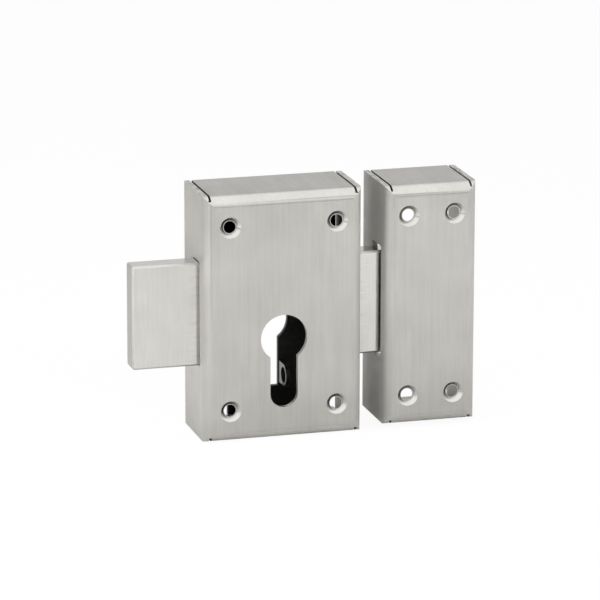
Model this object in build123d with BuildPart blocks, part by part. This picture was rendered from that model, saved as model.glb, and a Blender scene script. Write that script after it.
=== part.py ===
import math
import os

from build123d import *

os.makedirs("parts", exist_ok=True)

# Sizes are in millimetres and angles in degrees. X runs along the bolt, whose head points to +X. Y = 0 is
# the door face, and the lock stands in front of it, toward -Y. Z is up. The origin is the middle of the
# case's screw pattern on the door face. The bolt is drawn thrown, and the tumbler lifted off its stop.

# Folded sheet
sheet = 2.0
bend_radius = 4.2
seam_gap = 0.8
seam_end_angle = 55.0

# Case
case_width = 59.5
case_height = 91.8
case_depth = 28.8
screw_inset_x = 9.75
screw_inset_z = 11.6

# Countersunk holes for the mounting screws, in case and keep
screw_hole_diameter = 4.5
sink_diameter = 7.8
sink_angle = 90.0
sink_seat_diameter = 5.0
sink_seat_depth = 1.5

# Cut-out for the profile cylinder, measured from the cylinder's axis
cylinder_drop = 8.1
profile_diameter = 17.4
profile_flag_width = 10.3
profile_reach = 26.0
cam_radius = 15.5

# Bolt
bolt_height = 38.6
bolt_thickness = 8.5
bolt_face_depth = 7.8
bolt_foot_drop = 10.3
bolt_throw = 20.0
head_reach = 20.75
tail_reach = 25.0
bolt_lower_corner = 1.0
bolt_upper_corner = 0.9
bolt_edge_break = 0.7
slot_clearance = 0.25
window_clearance = 0.6
band_rise = 12.0
notch_width = 11.0
notch_clearance = 0.6

# Stump of the bolt and gate of the tumbler
stump_diameter = 4.0
stump_place = 14.0
stump_seat_depth = 6.5
stump_overhang = 0.3
gate_clearance = 0.2

# Tumbler
tumbler_thickness = 2.0
tumbler_gap = 0.3
tumbler_swing = 6.0
tumbler_rim = 2.6
tumbler_toe = 3.0
pivot_inset = 6.75
pivot_rise = 20.5
pivot_diameter = 5.0
boss_radius = 4.5
running_clearance = 0.05
pin_clearance = 0.03

# Spacer and washer behind the tumbler
spacer_diameter = 8.0
washer_thickness = 0.5

# Leaf spring of the tumbler, and the pins that it and the tumbler bear on
leaf_thickness = 0.5
leaf_width = 1.6
leaf_setback = 2.8
leaf_root_depth = 3.6
leaf_stand = 3.0
leaf_bend_radius = 1.5
leaf_length = 21.0
leaf_slope = 6.0
leaf_fit = 0.02
pin_diameter = 3.0
spring_pin_place = 3.0
stop_inset = 3.2

# Back plate
plate_thickness = 2.0
plate_side_gap = 0.6
plate_end_gap = 0.3
plate_shoulder_gap = 5.3
plate_foot_width = 28.0
plate_flag_end_gap = 0.6
plate_screw_passage = 5.0

# Lug of the back plate that takes the cylinder's fixing screw
lug_thickness = 1.8
lug_height = 8.4
lug_reach = 8.0
lug_hole_diameter = 6.0
lug_drop = 20.0
lug_setback = 0.3

# Posts and screws that carry the back plate
post_diameter = 6.0
upper_post_screw_gap = 8.0
upper_post_inset = 8.9
lower_post_place = -8.0
lower_post_inset = 7.9
post_screw_diameter = 3.0
post_screw_length = 9.0
post_thread_depth = 10.0
post_screw_head = 5.4
post_screw_drive = 2.0
post_screw_drive_depth = 1.0
thread_clearance = 0.05

# Guide angles welded inside the case
guide_thickness = 2.0
upper_guide_post_gap = 3.55
lower_guide_leg = 8.0
guide_clearance = 0.25
guide_setback = 0.3
upper_guide_inset = 4.0
lower_guide_inset = 2.7
lower_guide_cam_gap = 0.5

# Keep
keep_width = 34.9
keep_height = 89.9
keep_gap = 8.65
keep_rise = 1.5
keep_screw_inset_x = 8.75
keep_screw_inset_z = 11.1
keep_slot_front = 1.5
keep_slot_back = 0.8
keep_slot_below = 1.8
keep_slot_above = 1.9

# Length by which a cut runs past the surface that it opens
overrun = 1.0

# Places that follow from the sizes
case_front = -case_depth
case_inside = case_front + sheet
plate_front = -plate_thickness
wall_inside = case_width / 2 - sheet
screw_spacing_x = case_width - 2 * screw_inset_x
screw_spacing_z = case_height - 2 * screw_inset_z
cylinder_z = -cylinder_drop
bolt_front = case_front + bolt_face_depth
bolt_back = bolt_front + bolt_thickness
bolt_bottom = cylinder_z - bolt_foot_drop
bolt_top = bolt_bottom + bolt_height
bolt_tail = -case_width / 2 - tail_reach
bolt_head = case_width / 2 + head_reach
window_half = profile_diameter / 2 + window_clearance
band_z = cylinder_z + band_rise
lever_z = cylinder_z + pivot_rise
pivot_place = pivot_inset - case_width / 2
tumbler_front = bolt_back + tumbler_gap
tumbler_back = tumbler_front + tumbler_thickness
tumbler_foot = cylinder_z + cam_radius + running_clearance
keep_x = case_width / 2 + keep_gap + keep_width / 2
keep_z = (keep_height - case_height) / 2 + keep_rise
swing = math.radians(tumbler_swing)


def door_plane(x=0, y=0, z=0):
    """A plane parallel to the door, seen from the front: its x is X, its y is Z and it faces -Y."""
    return Plane(origin=(x, y, z), x_dir=(1, 0, 0), z_dir=(0, -1, 0))


def folded_box(width, height, x, z):
    """A box folded from one sheet, open at the door face, with a seam beside each side flap."""
    with BuildPart() as box:
        with BuildSketch(door_plane(x=x, z=z)):
            Rectangle(width, height)
        extrude(amount=case_depth)
        fillet(box.faces().sort_by(Axis.Y)[0].edges(), bend_radius)
        offset(amount=-sheet, openings=box.faces().sort_by(Axis.Y)[-1])
        with BuildSketch(door_plane(x=x, z=z)):
            with GridLocations(width - 2 * sheet - seam_gap, height, 2, 2):
                Rectangle(seam_gap, 2 * bend_radius)
        seam_end = bend_radius * (1 - math.sin(math.radians(seam_end_angle)))
        extrude(amount=case_depth - seam_end, mode=Mode.SUBTRACT)
    return box.part


def screw_holes(spacing_x, spacing_z, x, z):
    """The four countersunk holes of a folded box, cut from its front, each with a narrow ledge at its foot."""
    with Locations(door_plane(x=x, y=case_front, z=z)):
        with GridLocations(spacing_x, spacing_z, 2, 2):
            CounterBoreHole(screw_hole_diameter / 2, sink_seat_diameter / 2, sink_seat_depth)
            Cone(
                sink_seat_diameter / 2,
                sink_diameter / 2,
                (sink_diameter - sink_seat_diameter) / 2 / math.tan(math.radians(sink_angle / 2)),
                align=(Align.CENTER, Align.CENTER, Align.MAX),
                mode=Mode.SUBTRACT,
            )


def round_pin(diameter, x, z, back, front):
    """A plain round piece square to the door, drawn from y = back to y = front in the current part."""
    with BuildSketch(door_plane(x=x, y=back, z=z)) as section:
        Circle(diameter / 2)
    extrude(section.sketch, amount=back - front)


def lowered(x, z):
    """Where a point of the lifted tumbler lies once the tumbler is down on its stop."""
    dx = x - pivot_place
    dz = z - lever_z
    return (
        pivot_place + dx * math.cos(swing) + dz * math.sin(swing),
        lever_z - dx * math.sin(swing) + dz * math.cos(swing),
    )


def pocket_top(stump_x):
    """How high above the lever line the lowered tumbler's pocket has to reach for a stump at stump_x."""
    return (stump_x - pivot_place) * math.sin(swing) + stump_diameter / 2 + gate_clearance


# The seats of the fixed pins follow the tumbler: the stop lies under its lowered toe, the spring pin over
# the leaf of the lifted one.
tumbler_end = stump_place + stump_diameter / 2 + gate_clearance + tumbler_toe
toe_x, toe_z = lowered(tumbler_end - stop_inset, tumbler_foot)
stop_offset = pin_diameter / 2 + running_clearance
stop_x = toe_x - stop_offset * math.sin(swing)
stop_z = toe_z - stop_offset * math.cos(swing)
near_stump = stump_place - bolt_throw
shoulder_x = near_stump - stump_diameter / 2 - gate_clearance - tumbler_toe
leaf_place = shoulder_x - leaf_setback
shoulder_z = lever_z + pocket_top(near_stump) + tumbler_rim
leaf_tilt = math.radians(leaf_slope)
leaf_z = shoulder_z + leaf_stand
leaf_lift = leaf_thickness / 2 + pin_diameter / 2 + running_clearance
spring_pin_z = leaf_z + (spring_pin_place - leaf_place) * math.tan(leaf_tilt) + leaf_lift / math.cos(leaf_tilt)

# Case cover: front and four flaps, with the cut-out, the bolt's slots and the fixing screw's passage
case_blank = folded_box(case_width, case_height, 0, 0)
with BuildPart() as case_cover:
    add(case_blank)
    screw_holes(screw_spacing_x, screw_spacing_z, 0, 0)
    with BuildSketch(door_plane(y=case_inside + overrun, z=cylinder_z)):
        Circle(profile_diameter / 2)
        with Locations((0, -(profile_reach - profile_flag_width / 2) / 2)):
            Rectangle(profile_flag_width, profile_reach - profile_flag_width / 2)
        with Locations((0, -(profile_reach - profile_flag_width / 2))):
            Circle(profile_flag_width / 2)
    extrude(amount=sheet + 2 * overrun, mode=Mode.SUBTRACT)
    with BuildSketch(door_plane(y=bolt_back + slot_clearance, z=(bolt_bottom + bolt_top) / 2)):
        Rectangle(case_width + 2 * overrun, bolt_height + 2 * slot_clearance)
    extrude(amount=bolt_thickness + 2 * slot_clearance, mode=Mode.SUBTRACT)
    with BuildSketch(Plane.YZ.offset(wall_inside - overrun)):
        with Locations((-lug_reach, cylinder_z - lug_drop)):
            Circle(lug_hole_diameter / 2)
    extrude(amount=sheet + 2 * overrun, mode=Mode.SUBTRACT)
case_cover.part.label = "case_cover"

# Back plate: wide above, a narrower foot below, its own cut-out with a square foot, and the bent lug
plate_top = case_height / 2 - sheet - plate_end_gap
plate_half = wall_inside - plate_side_gap
plate_shoulder_drop = screw_spacing_z / 2 - plate_shoulder_gap
plate_flag_reach = profile_reach - plate_flag_end_gap
lug_x = profile_flag_width / 2 + lug_setback
upper_post_place = screw_spacing_x / 2 - upper_post_screw_gap
upper_post_rise = case_height / 2 - upper_post_inset
post_places = (
    (-upper_post_place, upper_post_rise),
    (upper_post_place, upper_post_rise),
    (lower_post_place, lower_post_inset - case_height / 2),
)
with BuildPart() as back_plate:
    with BuildSketch(door_plane()):
        with Locations((0, (plate_top - plate_shoulder_drop) / 2)):
            Rectangle(2 * plate_half, plate_top + plate_shoulder_drop)
        Rectangle(plate_foot_width, 2 * plate_top)
    extrude(amount=plate_thickness)
    with BuildSketch(Plane.YZ.offset(lug_x)):
        with Locations((-lug_reach, cylinder_z - lug_drop)):
            Circle(lug_height / 2)
        with Locations((-lug_reach / 2, cylinder_z - lug_drop)):
            Rectangle(lug_reach, lug_height)
    extrude(amount=lug_thickness)
    with BuildSketch(Plane.YZ.offset(lug_x - overrun)):
        with Locations((-lug_reach, cylinder_z - lug_drop)):
            Circle(lug_hole_diameter / 2)
    extrude(amount=lug_thickness + 2 * overrun, mode=Mode.SUBTRACT)
    with BuildSketch(door_plane(y=overrun, z=cylinder_z)):
        Circle(profile_diameter / 2)
        with Locations((0, -plate_flag_reach / 2)):
            Rectangle(profile_flag_width, plate_flag_reach)
    extrude(amount=plate_thickness + 2 * overrun, mode=Mode.SUBTRACT)
    with BuildSketch(door_plane(y=overrun)):
        with Locations((0, screw_spacing_z / 2)):
            with GridLocations(screw_spacing_x, screw_spacing_z, 2, 1):
                Circle(plate_screw_passage / 2)
        with Locations((pivot_place, lever_z)):
            Circle(pivot_diameter / 2 + pin_clearance)
        with Locations((stop_x, stop_z), (spring_pin_place, spring_pin_z)):
            Circle(pin_diameter / 2 + pin_clearance)
    extrude(amount=plate_thickness + 2 * overrun, mode=Mode.SUBTRACT)
    with Locations(Plane(origin=(0, 0, 0), x_dir=(1, 0, 0), z_dir=(0, 1, 0))):
        with Locations(*[(x, -z) for x, z in post_places]):
            CounterSinkHole(
                post_screw_diameter / 2 + thread_clearance,
                post_screw_head / 2 + thread_clearance,
                depth=plate_thickness + overrun,
                counter_sink_angle=sink_angle,
            )
back_plate.part.label = "back_plate"

# Posts between the case front and the back plate, each with a threaded hole from behind
with BuildPart() as plate_posts:
    for x, z in post_places:
        round_pin(post_diameter, x, z, plate_front, case_inside)
    with BuildSketch(door_plane(y=plate_front)):
        with Locations(*post_places):
            Circle(post_screw_diameter / 2)
    extrude(amount=post_thread_depth, mode=Mode.SUBTRACT)
plate_posts.part.label = "plate_posts"

# Countersunk screws that hold the back plate to the posts, their heads flush with the door face
screw_radius = post_screw_diameter / 2 - thread_clearance
head_radius = post_screw_head / 2
with BuildPart() as plate_screws:
    for x, z in post_places:
        with BuildSketch(Plane(origin=(x, 0, z), x_dir=(1, 0, 0), z_dir=(0, 0, 1))):
            with BuildLine():
                Polyline(
                    (0, 0),
                    (head_radius, 0),
                    (screw_radius, -(head_radius - screw_radius) / math.tan(math.radians(sink_angle / 2))),
                    (screw_radius, -post_screw_length),
                    (0, -post_screw_length),
                    close=True,
                )
            make_face()
        revolve(axis=Axis((x, 0, z), (0, 1, 0)))
    with BuildSketch(door_plane()):
        with Locations(*post_places):
            RegularPolygon(post_screw_drive / 2, 6)
    extrude(amount=post_screw_drive_depth, mode=Mode.SUBTRACT)
plate_screws.part.label = "plate_screws"

# Bolt: a flat bar with an open window for the cylinder and a notch for its cam
with BuildPart() as bolt:
    with BuildSketch(door_plane(y=bolt_back)):
        with Locations(((bolt_tail + bolt_head) / 2, (bolt_bottom + bolt_top) / 2)):
            Rectangle(bolt_head - bolt_tail, bolt_height)
    extrude(amount=bolt_thickness)
    fillet(bolt.edges().filter_by(Axis.Y).group_by(Axis.Z)[0], bolt_lower_corner)
    fillet(bolt.edges().filter_by(Axis.Y).group_by(Axis.Z)[-1], bolt_upper_corner)
    chamfer(bolt.faces().sort_by(Axis.Y)[0].edges(), bolt_edge_break)
    chamfer(bolt.faces().sort_by(Axis.Y)[-1].edges(), bolt_edge_break)
    with BuildSketch(door_plane(y=bolt_back + overrun)):
        with Locations((bolt_throw / 2, (bolt_bottom - overrun + band_z) / 2)):
            Rectangle(bolt_throw + 2 * window_half, band_z - bolt_bottom + overrun)
        with Locations((bolt_throw / 2, cylinder_z + cam_radius / 2 + notch_clearance / 2)):
            Rectangle(notch_width, cam_radius + notch_clearance)
    extrude(amount=bolt_thickness + 2 * overrun, mode=Mode.SUBTRACT)
    with BuildSketch(door_plane(y=bolt_back)):
        with Locations((stump_place, lever_z)):
            Circle(stump_diameter / 2)
    extrude(amount=stump_seat_depth, mode=Mode.SUBTRACT)
bolt.part.label = "bolt"

# Stump: the pin set in the bolt's back that runs in the tumbler's gate
with BuildPart() as bolt_stump:
    round_pin(
        stump_diameter - 2 * pin_clearance,
        stump_place,
        lever_z,
        tumbler_back + stump_overhang,
        bolt_back - stump_seat_depth + running_clearance,
    )
bolt_stump.part.label = "bolt_stump"

# Tumbler: a lever with a gate, two pockets that trap the stump when it is down, and a slit for its spring
stump_room = stump_diameter / 2 + gate_clearance
with BuildPart() as tumbler:
    with BuildSketch(door_plane(y=tumbler_back)):
        with BuildLine():
            Polyline(
                (pivot_place, tumbler_foot),
                (tumbler_end, tumbler_foot),
                (tumbler_end, lever_z + pocket_top(stump_place) + tumbler_rim),
                (stump_place - stump_room - tumbler_toe, lever_z + pocket_top(stump_place) + tumbler_rim),
                (shoulder_x, shoulder_z),
                (pivot_place, lever_z + boss_radius),
                close=True,
            )
        make_face()
        with Locations((pivot_place, lever_z)):
            Circle(boss_radius)
            Circle(pivot_diameter / 2 + pin_clearance, mode=Mode.SUBTRACT)
        with Locations((stump_place - bolt_throw / 2, lever_z)):
            Rectangle(bolt_throw + 2 * stump_room, 2 * stump_room, mode=Mode.SUBTRACT)
        for stump_x in (stump_place, near_stump):
            pocket_drift = (stump_x - pivot_place) * (1 - math.cos(swing))
            with Locations((stump_x - pocket_drift / 2, lever_z + pocket_top(stump_x) / 2)):
                Rectangle(2 * stump_room + pocket_drift, pocket_top(stump_x), mode=Mode.SUBTRACT)
        with Locations((leaf_place, leaf_z - leaf_root_depth / 2 - leaf_stand)):
            Rectangle(leaf_thickness + 2 * leaf_fit, leaf_root_depth + 2 * leaf_fit, mode=Mode.SUBTRACT)
    extrude(amount=tumbler_thickness)
tumbler.part.label = "tumbler"

# Leaf spring: a strip set upright in the tumbler's slit and bent over to run under the spring pin
with BuildPart() as tumbler_spring:
    with BuildSketch(door_plane(y=(tumbler_front + tumbler_back + leaf_width) / 2)):
        with BuildLine():
            FilletPolyline(
                (leaf_place, leaf_z - leaf_stand - leaf_root_depth),
                (leaf_place, leaf_z),
                (leaf_place + leaf_length * math.cos(leaf_tilt), leaf_z + leaf_length * math.sin(leaf_tilt)),
                radius=leaf_bend_radius,
            )
        trace(line_width=leaf_thickness)
    extrude(amount=leaf_width)
tumbler_spring.part.label = "tumbler_spring"

# Pivot stud, riveted through the back plate, with the spacer and the washer that carry the tumbler
with BuildPart() as tumbler_pivot:
    round_pin(pivot_diameter, pivot_place, lever_z, 0, tumbler_front - tumbler_gap / 2)
tumbler_pivot.part.label = "tumbler_pivot"

washer_front = tumbler_back + running_clearance
washer_back = washer_front + washer_thickness
with BuildPart() as pivot_spacer:
    round_pin(spacer_diameter, pivot_place, lever_z, plate_front, washer_back)
    with BuildSketch(door_plane(x=pivot_place, y=plate_front, z=lever_z)):
        Circle(pivot_diameter / 2 + pin_clearance)
    extrude(amount=plate_front - washer_back, mode=Mode.SUBTRACT)
pivot_spacer.part.label = "pivot_spacer"

with BuildPart() as pivot_washer:
    round_pin(spacer_diameter, pivot_place, lever_z, washer_back, washer_front)
    with BuildSketch(door_plane(x=pivot_place, y=washer_back, z=lever_z)):
        Circle(pivot_diameter / 2 + pin_clearance)
    extrude(amount=washer_thickness, mode=Mode.SUBTRACT)
pivot_washer.part.label = "pivot_washer"

# Pins riveted through the back plate: the tumbler's stop and the leaf spring's bearing
with BuildPart() as tumbler_stop:
    round_pin(pin_diameter, stop_x, stop_z, 0, tumbler_front - running_clearance)
tumbler_stop.part.label = "tumbler_stop"

with BuildPart() as spring_pin:
    round_pin(pin_diameter, spring_pin_place, spring_pin_z, 0, tumbler_front - running_clearance)
spring_pin.part.label = "spring_pin"

# Guide angles on the inside of the case front, above the bolt and below it on both sides of the cylinder
guide_back = bolt_back - guide_setback
upper_guide_foot = bolt_top + guide_clearance
upper_guide_length = 2 * (wall_inside - upper_guide_inset)
upper_guide_leg = upper_post_rise - post_diameter / 2 - upper_guide_post_gap - upper_guide_foot
with BuildPart() as upper_guide:
    with BuildSketch(Plane.YZ.offset(-upper_guide_length / 2)):
        with Locations(((case_inside + guide_back) / 2, upper_guide_foot + guide_thickness / 2)):
            Rectangle(guide_back - case_inside, guide_thickness)
        with Locations((case_inside + guide_thickness / 2, upper_guide_foot + upper_guide_leg / 2)):
            Rectangle(guide_thickness, upper_guide_leg)
    extrude(amount=upper_guide_length)
upper_guide.part.label = "upper_guide"

lower_guide_start = cam_radius + lower_guide_cam_gap
lower_guide_end = wall_inside - lower_guide_inset


def lower_guide(start):
    """One lower guide angle, added to the current part from x = start toward +X."""
    top = bolt_bottom - guide_clearance
    with BuildSketch(Plane.YZ.offset(start)) as section:
        with Locations(((case_inside + guide_back) / 2, top - guide_thickness / 2)):
            Rectangle(guide_back - case_inside, guide_thickness)
        with Locations((case_inside + guide_thickness / 2, top - lower_guide_leg / 2)):
            Rectangle(guide_thickness, lower_guide_leg)
    extrude(section.sketch, amount=lower_guide_end - lower_guide_start)


with BuildPart() as lower_guide_left:
    lower_guide(-lower_guide_end)
lower_guide_left.part.label = "lower_guide_left"

with BuildPart() as lower_guide_right:
    lower_guide(lower_guide_start)
lower_guide_right.part.label = "lower_guide_right"

# Keep: a narrower folded box with the bolt's slot in its left wall
keep_blank = folded_box(keep_width, keep_height, keep_x, keep_z)
keep_slot_bottom = bolt_bottom - keep_slot_below
keep_slot_top = bolt_top + keep_slot_above
with BuildPart() as keep_cover:
    add(keep_blank)
    screw_holes(keep_width - 2 * keep_screw_inset_x, keep_height - 2 * keep_screw_inset_z, keep_x, keep_z)
    with BuildSketch(
        door_plane(x=keep_x - keep_width / 2, y=bolt_back + keep_slot_back, z=(keep_slot_bottom + keep_slot_top) / 2)
    ):
        Rectangle(2 * (sheet + overrun), keep_slot_top - keep_slot_bottom)
    extrude(amount=bolt_thickness + keep_slot_front + keep_slot_back, mode=Mode.SUBTRACT)
keep_cover.part.label = "keep_cover"

for piece in (
    case_cover,
    back_plate,
    plate_posts,
    plate_screws,
    bolt,
    bolt_stump,
    tumbler,
    tumbler_spring,
    tumbler_pivot,
    pivot_spacer,
    pivot_washer,
    tumbler_stop,
    spring_pin,
    upper_guide,
    lower_guide_left,
    lower_guide_right,
    keep_cover,
):
    export_step(piece.part, f"parts/{piece.part.label}.step")
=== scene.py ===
import math

import bmesh
import bpy
from mathutils import Matrix, Vector


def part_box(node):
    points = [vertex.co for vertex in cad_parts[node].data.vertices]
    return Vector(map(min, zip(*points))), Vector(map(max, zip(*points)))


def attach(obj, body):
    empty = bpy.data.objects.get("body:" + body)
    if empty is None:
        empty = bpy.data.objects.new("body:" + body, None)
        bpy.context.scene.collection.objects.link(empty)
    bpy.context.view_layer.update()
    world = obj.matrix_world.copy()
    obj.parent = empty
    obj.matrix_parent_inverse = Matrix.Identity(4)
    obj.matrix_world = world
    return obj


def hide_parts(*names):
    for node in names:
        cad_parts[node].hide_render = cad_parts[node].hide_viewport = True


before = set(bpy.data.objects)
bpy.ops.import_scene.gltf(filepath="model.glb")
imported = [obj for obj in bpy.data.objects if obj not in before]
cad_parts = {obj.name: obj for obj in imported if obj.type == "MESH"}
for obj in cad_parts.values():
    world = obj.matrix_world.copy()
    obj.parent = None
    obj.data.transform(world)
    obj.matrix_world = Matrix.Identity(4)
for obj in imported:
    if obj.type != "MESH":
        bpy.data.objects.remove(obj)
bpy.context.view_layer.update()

# Units are metres. The frame is the lock's own: X along the bolt, -Y out of the door, Z up, and the
# origin in the middle of the case's screw pattern on the door face.


# Case cover
# The case is folded from one stainless sheet 2 mm thick, belt-brushed upright before it was punched and bent.
# Its side flaps stop short of the top and bottom flaps, which leaves a dark seam at each corner.


def linear(hex_colour):
    """The linear RGBA of an sRGB hex colour."""
    out = []
    for i in (0, 2, 4):
        v = int(hex_colour[i : i + 2], 16) / 255
        out.append(v / 12.92 if v <= 0.04045 else ((v + 0.055) / 1.055) ** 2.4)
    return (*out, 1.0)


def add_node(owner, kind, inputs=(), out=0, **settings):
    """Adds a node with its settings, sets or joins its inputs, and gives the output that is asked for."""
    node = owner.node_tree.nodes.new(kind)
    for name, value in settings.items():
        setattr(node, name, value)
    for name, value in dict(inputs).items():
        if isinstance(value, bpy.types.NodeSocket):
            owner.node_tree.links.new(value, node.inputs[name])
        else:
            node.inputs[name].default_value = value
    return node.outputs[out] if node.outputs else node


def empty_material(name):
    """A material with nothing in it yet."""
    material = bpy.data.materials.new(name)
    material.use_nodes = True
    material.node_tree.nodes.clear()
    return material


def brushed_sheet(name, dark, pale, roughness):
    """Stainless sheet brushed with a 120-grit belt: grey, a little warm, with fine upright grain that runs on
    round the bends, so it turns to run front to back on the top and bottom flaps."""
    material = empty_material(name)
    place = add_node(material, "ShaderNodeTexCoord", out="Object")
    facing = add_node(material, "ShaderNodeTexCoord", out="Normal")
    upright = add_node(material, "ShaderNodeSeparateXYZ", {"Vector": facing}, out="Z")
    upright = add_node(material, "ShaderNodeMath", {0: upright}, operation="ABSOLUTE")
    # The grain is taken to turn where the surface tips past about 45 degrees
    on_flap = add_node(material, "ShaderNodeMapRange", {"Value": upright, "From Min": 0.68, "From Max": 0.74})
    # Grit 120 leaves scratches about 0.1 mm wide; they are drawn 0.25 mm wide so that they show
    grains = []
    for across, along, detail in ((4200.0, 130.0, 3.0), (1100.0, 30.0, 2.0)):
        lines = []
        for scale in ((across, across, along), (across, along, across)):
            spread = add_node(material, "ShaderNodeMapping", {"Vector": place, "Scale": scale})
            lines.append(
                add_node(material, "ShaderNodeTexNoise", {"Vector": spread, "Scale": 1.0, "Detail": detail})
            )
        grains.append(
            add_node(
                material, "ShaderNodeMix", {"Factor": on_flap, 2: lines[0], 3: lines[1]}, data_type="FLOAT"
            )
        )
    fine, broad = grains
    # The belt's pressure leaves soft clouds about 15 mm across
    cloud = add_node(material, "ShaderNodeTexNoise", {"Vector": place, "Scale": 70.0, "Detail": 2.0})
    tone = add_node(material, "ShaderNodeMath", {0: fine, 1: broad}, operation="ADD")
    tone = add_node(material, "ShaderNodeMath", {0: tone, 1: cloud}, operation="ADD")
    tone = add_node(material, "ShaderNodeMapRange", {"Value": tone, "From Min": 1.0, "From Max": 2.0})
    colour = add_node(
        material, "ShaderNodeMix", {"Factor": tone, 6: linear(dark), 7: linear(pale)}, out=2, data_type="RGBA"
    )
    gloss = add_node(
        material,
        "ShaderNodeMapRange",
        {"Value": tone, "To Min": roughness + 0.04, "To Max": roughness - 0.04},
    )
    bump = add_node(material, "ShaderNodeBump", {"Strength": 0.12, "Distance": 0.00003, "Height": fine})
    # Light spreads across the grain, so the tangent lies level on the walls and side to side on the flaps
    level = add_node(
        material, "ShaderNodeVectorMath", {0: facing, 1: (0.0, 0.08, 1.0)}, operation="CROSS_PRODUCT"
    )
    shader = add_node(
        material,
        "ShaderNodeBsdfPrincipled",
        {
            "Base Color": colour,
            "Metallic": 1.0,
            "Roughness": gloss,
            "Anisotropic": 0.95,
            "Normal": bump,
            "Tangent": level,
        },
    )
    add_node(material, "ShaderNodeOutputMaterial", {"Surface": shader})
    return material


def worked_metal(
    name, hex_colour, roughness, grain, spread=0.06, metallic=1.0, relief=0.00003, between=(0.3, 0.7)
):
    """A metal with one pattern in its tone, gloss and surface. The grain is that pattern's features per
    metre, the spread is how far the tone moves either way, the relief is the depth of its marks, and all of
    the change lies between two levels of the pattern."""
    material = empty_material(name)
    place = add_node(material, "ShaderNodeTexCoord", out="Object")
    place = add_node(material, "ShaderNodeMapping", {"Vector": place, "Scale": grain})
    pattern = add_node(material, "ShaderNodeTexNoise", {"Vector": place, "Scale": 1.0, "Detail": 3.0})
    even = add_node(
        material, "ShaderNodeMapRange", {"Value": pattern, "From Min": between[0], "From Max": between[1]}
    )
    base = linear(hex_colour)
    colour = add_node(
        material,
        "ShaderNodeMix",
        {
            "Factor": even,
            6: (*[v * (1 - spread) for v in base[:3]], 1.0),
            7: (*[min(1.0, v * (1 + spread)) for v in base[:3]], 1.0),
        },
        out=2,
        data_type="RGBA",
    )
    gloss = add_node(
        material,
        "ShaderNodeMapRange",
        {"Value": even, "To Min": roughness - 0.05, "To Max": roughness + 0.07},
    )
    bump = add_node(material, "ShaderNodeBump", {"Strength": 0.3, "Distance": relief, "Height": pattern})
    shader = add_node(
        material,
        "ShaderNodeBsdfPrincipled",
        {"Base Color": colour, "Metallic": metallic, "Roughness": gloss, "Normal": bump},
    )
    add_node(material, "ShaderNodeOutputMaterial", {"Surface": shader})
    return material


def merged_copy(node, name):
    """A copy of a CAD node's mesh with its loose triangles merged and its flats made whole."""
    same_place, flat_angle = 1e-6, math.radians(0.6)
    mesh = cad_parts[node].data.copy()
    mesh.name = name
    mesh.materials.clear()
    work = bmesh.new()
    work.from_mesh(mesh)
    bmesh.ops.remove_doubles(work, verts=work.verts[:], dist=same_place)
    bmesh.ops.dissolve_limit(
        work,
        angle_limit=flat_angle,
        verts=work.verts[:],
        edges=work.edges[:],
        use_dissolve_boundaries=False,
    )
    for face in work.faces:
        face.smooth = True
    work.to_mesh(mesh)
    work.free()
    piece = bpy.data.objects.new(name, mesh)
    bpy.context.scene.collection.objects.link(piece)
    return piece


def soften(piece, width, finish=-1, angle=32.0):
    """Breaks a piece's edges that are sharper than angle by width, and keeps its flats flat to the light. The
    broken edge takes the piece's finish of that number, or its neighbour's at -1."""
    bevel = piece.modifiers.new("edge_break", "BEVEL")
    bevel.width = width
    bevel.segments = 3
    bevel.profile = 0.5
    bevel.limit_method = "ANGLE"
    bevel.angle_limit = math.radians(angle)
    bevel.material = finish
    bevel.use_clamp_overlap = True
    bevel.miter_outer = "MITER_ARC"
    weighted = piece.modifiers.new("flat_light", "WEIGHTED_NORMAL")
    weighted.weight = 60
    weighted.keep_sharp = True
    return piece


def crease_mitres(piece, low, high):
    """Keeps the diagonal creases crisp where two bends of a folded box meet at a corner."""
    mesh = piece.data
    for edge in mesh.edges:
        a, b = (mesh.vertices[i].co for i in edge.vertices)
        middle, way = (a + b) / 2, (b - a).normalized()
        from_side = min(middle.x - low.x, high.x - middle.x)
        from_end = min(middle.z - low.z, high.z - middle.z)
        slants = min(abs(way.x), abs(way.z)) > 0.2
        if slants and from_side < bend and from_end < bend:
            edge.use_edge_sharp = True


# The sheet's thickness, the outer radius of its bends and the width of the seams
sheet = 0.002
bend = 0.0042
seam = 0.0008
case_low, case_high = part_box("case_cover")

# The finishes of a folded box, by their numbers on the piece
brushed, sunk, punched, inside, seamed, sheared = range(6)
sheet_finish = brushed_sheet("brushed_stainless_120_grit", "b7b5b1", "c2c0bc", 0.44)
# A countersink is turned by a cutter after the brushing, so it is brighter and smoother than the sheet
sink_finish = worked_metal("turned_countersink", "b2b1ad", 0.22, (3800, 900, 3800), 0.04, relief=0.00001)
# A punched edge is a rolled bright band with a duller torn part
cut_finish = worked_metal("punched_sheet_edge", "bdbcb8", 0.42, (900, 2600, 900), 0.10)
# The inside of the fold is mill finish, never brushed, so it is a plain duller grey
inside_finish = worked_metal("mill_finish_stainless", "9b9a97", 0.5, (160, 160, 160), 0.08)
# The seam's walls were cut by laser, which leaves them dark with oxide; their near-black colour is also
# painted shade, the shade deep in the narrow seam
seam_finish = worked_metal("laser_cut_edge", "2b2a28", 0.6, (2600, 300, 300), 0.2, 0.5)
# The side flaps' long edges are sheared: a burnished band with torn dark dashes
sheared_finish = worked_metal(
    "sheared_flap_edge", "a5a49f", 0.4, (1500, 260, 1500), 0.3, relief=0.00006, between=(0.4, 0.5)
)


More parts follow.
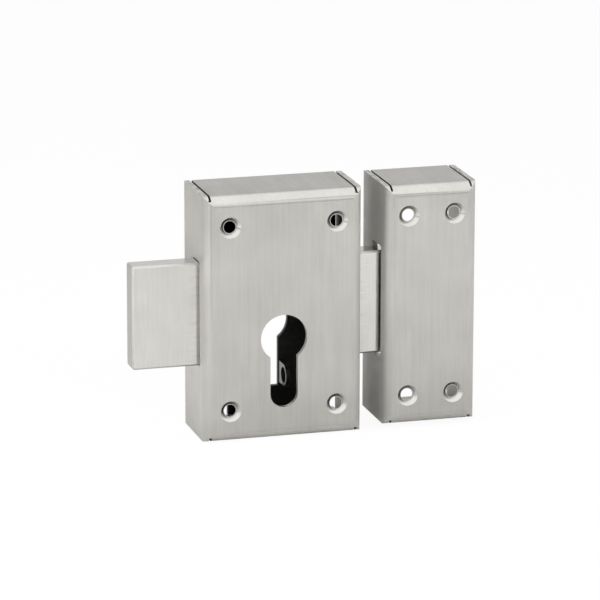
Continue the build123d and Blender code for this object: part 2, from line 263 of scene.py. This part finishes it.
def paint_folded_box(piece, low, high, hole_places):
    """Gives each face of a folded box its finish, by its depth under the outer skin and where it looks."""
    for finish in (sheet_finish, sink_finish, cut_finish, inside_finish, seam_finish, sheared_finish):
        piece.data.materials.append(finish)
    middle = Vector(((low.x + high.x) / 2, high.y, (low.z + high.z) / 2))
    skin, slack = 1e-5, 0.0002
    sink_reach = 0.0042
    for face in piece.data.polygons:
        c, n = face.center, face.normal
        from_side = min(c.x - low.x, high.x - c.x)
        from_end = min(c.z - low.z, high.z - c.z)
        depth = min(from_side, from_end, c.y - low.y)
        in_sink = any(math.hypot(c.x - x, c.z - z) < sink_reach for x, z in hole_places)
        slopes = abs(n.y) < 0.95
        beside_seam = sheet - slack < from_side < sheet + seam + slack and from_end < bend + slack
        seam_wall = depth > skin and max(abs(n.x), abs(n.y)) > 0.6 and (abs(n.x) > 0.9 or c.y < low.y + bend)
        on_bend = min(from_side, from_end) < bend and c.y < low.y + bend
        if in_sink and c.y < low.y + sheet and slopes:
            finish = sunk
        elif in_sink and low.y + slack < c.y < low.y + sheet - slack:
            finish = sunk
        # The seam's walls take the near-black finish: laser oxide and painted shade
        elif beside_seam and seam_wall:
            finish = seamed
        elif from_side < sheet and from_end < skin and abs(n.z) > 0.9:
            finish = sheared
        elif depth < skin and (abs(n.y) < 0.9 or c.y < low.y + 1e-4):
            finish = brushed
        elif c.y > high.y - skin:
            finish = punched
        elif depth > sheet - skin:
            finish = inside
        elif on_bend and max(abs(n.x), abs(n.y), abs(n.z)) < 0.999:
            # On the bends the outer skin is the part whose normal points out of the box
            finish = brushed if n.dot(c - middle) > 0 else inside
        else:
            finish = punched
        face.material_index = finish


case_holes = [(x, z) for x in (-0.020, 0.020) for z in (-0.0343, 0.0343)]
case_shell = merged_copy("case_cover", "case_shell")
paint_folded_box(case_shell, case_low, case_high, case_holes)
crease_mitres(case_shell, case_low, case_high)
soften(case_shell, 0.00012, punched)
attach(case_shell, "case")
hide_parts("case_cover")


# Keep cover
# The keep is folded from the same brushed sheet. The bolt's slot is punched through its left wall before
# the sheet is bent.
keep_low, keep_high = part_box("keep_cover")
keep_x = (keep_low.x + keep_high.x) / 2
keep_z = (keep_low.z + keep_high.z) / 2
keep_holes = [(keep_x + x, keep_z + z) for x in (-0.0087, 0.0087) for z in (-0.03385, 0.03385)]
keep_shell = merged_copy("keep_cover", "keep_shell")
paint_folded_box(keep_shell, keep_low, keep_high, keep_holes)
crease_mitres(keep_shell, keep_low, keep_high)
soften(keep_shell, 0.00012, punched)
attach(keep_shell, "keep")
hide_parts("keep_cover")


# Bolt and its stump
# The bolt is cut from cold-drawn steel flat bar, ground and lightly polished, then nickel plated. The
# stump is a turned and zinc plated pin pressed into its back, and the lock's other pins are made alike.


def ground_bar(name):
    """Ground and plated bar: brighter and glossier than the sheet, cloudy, with short level scratches where
    the bolt rubs in the case."""
    material = empty_material(name)
    place = add_node(material, "ShaderNodeTexCoord", out="Object")
    cloud = add_node(material, "ShaderNodeTexNoise", {"Vector": place, "Scale": 90.0, "Detail": 3.0})
    # Grinding lines are about 0.05 mm wide; they are drawn 0.3 mm wide so that they show
    spread = add_node(material, "ShaderNodeMapping", {"Vector": place, "Scale": (3300.0, 3300.0, 90.0)})
    fine = add_node(material, "ShaderNodeTexNoise", {"Vector": spread, "Scale": 1.0, "Detail": 3.0})
    both = add_node(material, "ShaderNodeMath", {0: fine, 1: cloud}, operation="ADD")
    both = add_node(material, "ShaderNodeMapRange", {"Value": both, "From Min": 0.6, "From Max": 1.4})
    colour = add_node(
        material,
        "ShaderNodeMix",
        {"Factor": both, 6: linear("b8b7b3"), 7: linear("c5c4c0")},
        out=2,
        data_type="RGBA",
    )
    # Wear runs along the bolt inside the case, in lines that fade out within 6 mm past its walls
    along = add_node(material, "ShaderNodeSeparateXYZ", {"Vector": place}, out="X")
    along = add_node(material, "ShaderNodeMath", {0: along}, operation="ABSOLUTE")
    near = add_node(
        material,
        "ShaderNodeMapRange",
        {"Value": along, "From Min": 0.030, "From Max": 0.036, "To Min": 1.0, "To Max": 0.0},
    )
    rub = add_node(material, "ShaderNodeMapping", {"Vector": place, "Scale": (160.0, 160.0, 2600.0)})
    rub = add_node(material, "ShaderNodeTexNoise", {"Vector": rub, "Scale": 1.0, "Detail": 2.0})
    rub = add_node(material, "ShaderNodeMapRange", {"Value": rub, "From Min": 0.52, "From Max": 0.62})
    worn = add_node(material, "ShaderNodeMath", {0: near, 1: rub}, operation="MULTIPLY")
    worn = add_node(material, "ShaderNodeMath", {0: worn, 1: 0.45}, operation="MULTIPLY")
    colour = add_node(
        material, "ShaderNodeMix", {"Factor": worn, 6: colour, 7: linear("a19f9b")}, out=2, data_type="RGBA"
    )
    gloss = add_node(material, "ShaderNodeMapRange", {"Value": both, "To Min": 0.18, "To Max": 0.12})
    bump = add_node(material, "ShaderNodeBump", {"Strength": 0.08, "Distance": 0.00003, "Height": fine})
    shader = add_node(
        material,
        "ShaderNodeBsdfPrincipled",
        {"Base Color": colour, "Metallic": 1.0, "Roughness": gloss, "Normal": bump},
    )
    add_node(material, "ShaderNodeOutputMaterial", {"Surface": shader})
    return material


bolt_bar = merged_copy("bolt", "bolt_bar")
bolt_bar.data.materials.append(ground_bar("ground_plated_bar"))
# The bar's ends are sawn and its edges filed, so they are duller. Faces nearer the middle that look along
# the bolt are the walls of its window and cam notch, and keep the first finish
bolt_bar.data.materials.append(worked_metal("sawn_bar_end", "b0afab", 0.34, (1800, 60, 60), 0.05))
ends_from = 0.045
for face in bolt_bar.data.polygons:
    at_end = abs(face.normal.x) > 0.6 and abs(face.center.x) > ends_from
    filed = 0.3 < abs(face.normal.y) < 0.95
    face.material_index = 1 if at_end or filed else 0
soften(bolt_bar, 0.00012)
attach(bolt_bar, "bolt")
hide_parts("bolt")

# Fine rings from the lathe's tool run round each pin
turned_finish = worked_metal("turned_plated_steel", "a5a4a1", 0.3, (500, 4200, 500), 0.08)
for node, body in (
    ("bolt_stump", "bolt"),
    ("tumbler_pivot", "case"),
    ("pivot_spacer", "case"),
    ("pivot_washer", "case"),
    ("tumbler_stop", "case"),
    ("spring_pin", "case"),
):
    pin = merged_copy(node, node + "_turned")
    pin.data.materials.append(turned_finish)
    soften(pin, 0.0002, angle=40.0)
    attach(pin, body)
    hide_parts(node)


# Back plate, its posts, screws and guides
# The plate is punched mild steel, coloured near black with a satin sheen, and so are its posts and guides.
# The lug for the cylinder's fixing screw is bent up out of it, and its flat is plain grey steel.
black_finish = worked_metal("blackened_plate", "2c2b29", 0.42, (700, 700, 700), 0.25, 0.35, 0.00004)
bare_finish = worked_metal("bare_punched_steel", "8d8b86", 0.36, (1600, 1600, 300), 0.1)
back_sheet = merged_copy("back_plate", "back_sheet")
back_sheet.data.materials.append(black_finish)
back_sheet.data.materials.append(bare_finish)
lug_from = -0.00205  # the lug stands forward of the plate, which is 2 mm thick
for face in back_sheet.data.polygons:
    if face.center.y < lug_from and face.normal.x < -0.9:
        face.material_index = 1
soften(back_sheet, 0.00018)
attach(back_sheet, "case")
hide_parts("back_plate")

for node in ("plate_posts", "upper_guide", "lower_guide_left", "lower_guide_right"):
    part = merged_copy(node, node + "_blackened")
    part.data.materials.append(black_finish)
    soften(part, 0.0002, angle=40.0)
    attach(part, "case")
    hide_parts(node)

plate_fixings = merged_copy("plate_screws", "plate_fixings")
plate_fixings.data.materials.append(turned_finish)
soften(plate_fixings, 0.00012, angle=40.0)
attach(plate_fixings, "case")
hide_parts("plate_screws")


# Tumbler and its spring
# The tumbler is stamped from sheet brass and left as it was rolled, so it is warm, satin and softly
# streaked. Its spring is a blued strip set in a slit at its top.
brass_finish = worked_metal("stamped_brass", "c7a45e", 0.32, (900, 300, 2200), 0.07)
lever = merged_copy("tumbler", "tumbler_lever")
lever.data.materials.append(brass_finish)
soften(lever, 0.00015, angle=40.0)
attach(lever, "tumbler")
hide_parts("tumbler")

blued_finish = worked_metal("blued_spring_steel", "3b3f4c", 0.28, (1500, 1500, 1500), 0.1)
leaf = merged_copy("tumbler_spring", "leaf_strip")
leaf.data.materials.append(blued_finish)
soften(leaf, 0.00006, angle=40.0)
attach(leaf, "tumbler")
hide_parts("tumbler_spring")


# Floor, light and camera
# The lock stands on a sheet of white paper in a soft tent. A large softbox hangs high at its left, a small
# one stands close at its left and one in front at its right, and it is seen from the left and a little above.
ground = bmesh.new()
bmesh.ops.create_grid(ground, x_segments=1, y_segments=1, size=6.0)
stand_off = 0.0001
bmesh.ops.translate(ground, verts=ground.verts[:], vec=(0, 0, case_low.z - stand_off))
floor_mesh = bpy.data.meshes.new("floor")
ground.to_mesh(floor_mesh)
ground.free()
floor = bpy.data.objects.new("floor", floor_mesh)
bpy.context.scene.collection.objects.link(floor)
# To the camera the paper is nearly all plain white, and the rest of it carries the lock's shadow. In metal it
# shows almost wholly as the lamps light it
shown_white, mirrored_white = 0.93, 0.02
floor_paper = empty_material("white_paper")
seen = add_node(floor_paper, "ShaderNodeLightPath", out="Is Camera Ray")
through = add_node(floor_paper, "ShaderNodeLightPath", out="Is Transmission Ray")
mirrored = add_node(floor_paper, "ShaderNodeLightPath", out="Is Glossy Ray")
white = add_node(floor_paper, "ShaderNodeMath", {0: seen, 1: through}, operation="MAXIMUM")
white = add_node(floor_paper, "ShaderNodeMath", {0: white, 1: shown_white}, operation="MULTIPLY")
white = add_node(
    floor_paper, "ShaderNodeMath", {0: mirrored, 1: mirrored_white, 2: white}, operation="MULTIPLY_ADD"
)
paper = add_node(floor_paper, "ShaderNodeBsdfDiffuse", {"Color": linear("f7f7f6")})
glow = add_node(floor_paper, "ShaderNodeEmission", {"Color": linear("ffffff"), "Strength": 1.0})
mixed = add_node(floor_paper, "ShaderNodeMixShader", {0: white, 1: paper, 2: glow})
add_node(floor_paper, "ShaderNodeOutputMaterial", {"Surface": mixed})
floor_mesh.materials.append(floor_paper)

# Metal mirrors a white tent that grows brighter overhead, in a band that runs level from left to right. The
# room lights everything else, and the camera sees a plain white backdrop
tent_low, tent_high, room_level = 0.88, 1.86, 0.66
brightest = (0.0, -0.342, 0.940)
world = bpy.data.worlds.new("studio")
bpy.context.scene.world = world
world.use_nodes = True
world.node_tree.nodes.clear()
toward = add_node(world, "ShaderNodeTexCoord", out="Generated")
toward = add_node(world, "ShaderNodeVectorMath", {0: toward, 1: (0.0, 1.0, 1.0)}, operation="MULTIPLY")
toward = add_node(world, "ShaderNodeVectorMath", {0: toward}, operation="NORMALIZE")
height = add_node(
    world, "ShaderNodeVectorMath", {0: toward, 1: brightest}, out="Value", operation="DOT_PRODUCT"
)
overhead = add_node(
    world,
    "ShaderNodeMapRange",
    {"Value": height, "From Min": 0.2, "From Max": 0.78, "To Min": tent_low, "To Max": tent_high},
    interpolation_type="SMOOTHSTEP",
)
tent = add_node(world, "ShaderNodeBackground", {"Color": linear("ffffff"), "Strength": overhead})
room = add_node(world, "ShaderNodeBackground", {"Color": linear("fbfbfa"), "Strength": room_level})
backdrop = add_node(world, "ShaderNodeBackground", {"Color": linear("ffffff"), "Strength": 1.0})
mirrored = add_node(world, "ShaderNodeLightPath", out="Is Glossy Ray")
seen = add_node(world, "ShaderNodeLightPath", out="Is Camera Ray")
through = add_node(world, "ShaderNodeLightPath", out="Is Transmission Ray")
white = add_node(world, "ShaderNodeMath", {0: seen, 1: through}, operation="MAXIMUM")
lit = add_node(world, "ShaderNodeMixShader", {0: mirrored, 1: room, 2: tent})
sky = add_node(world, "ShaderNodeMixShader", {0: white, 1: lit, 2: backdrop})
add_node(world, "ShaderNodeOutputWorld", {"Surface": sky})


def softbox(name, place, aim, size, watts):
    """A soft rectangular lamp at place that points at aim."""
    light = bpy.data.lights.new(name, "AREA")
    light.shape = "RECTANGLE"
    light.size, light.size_y = size
    light.energy = watts
    lamp = bpy.data.objects.new(name, light)
    bpy.context.scene.collection.objects.link(lamp)
    # The lamps stand outside the tent, so the metal mirrors the tent and not them
    lamp.visible_glossy = False
    lamp.visible_camera = False
    way = Vector(aim) - Vector(place)
    lamp.matrix_world = Matrix.Translation(place) @ way.to_track_quat("-Z", "Y").to_matrix().to_4x4()


softbox("top_softbox", (-0.4, 0.25, 0.95), (-0.05, 0.1, -0.05), (0.9, 0.9), 2.7)
softbox("left_softbox", (-0.33, -0.17, 0.13), (-0.19, -0.07, -0.05), (0.15, 0.15), 0.8)
softbox("front_softbox", (0.37, -0.38, 0.2), (0.14, -0.2, -0.05), (0.3, 0.3), 1.65)

camera_data = bpy.data.cameras.new("camera")
camera = bpy.data.objects.new("camera", camera_data)
bpy.context.scene.collection.objects.link(camera)
bpy.context.scene.camera = camera
# The focal length is 4426.7 pixels of a frame that is 600 wide
camera_data.sensor_width = 36.0
camera_data.lens = 4426.7 / 600 * 36.0
camera_data.clip_start = 0.05
camera_place = (-0.41914, -1.51934, 0.41500)
yaw, pitch, roll = math.radians(15.917), math.radians(14.790), math.radians(0.107)
forward = Vector((math.sin(yaw) * math.cos(pitch), math.cos(yaw) * math.cos(pitch), -math.sin(pitch)))
right = Vector((math.cos(yaw), -math.sin(yaw), 0.0))
up = right.cross(forward)
right, up = right * math.cos(roll) + up * math.sin(roll), up * math.cos(roll) - right * math.sin(roll)
turn = Matrix((right, up, -forward)).transposed().to_4x4()
camera.matrix_world = Matrix.Translation(camera_place) @ turn

bpy.context.scene.view_settings.view_transform = "Standard"
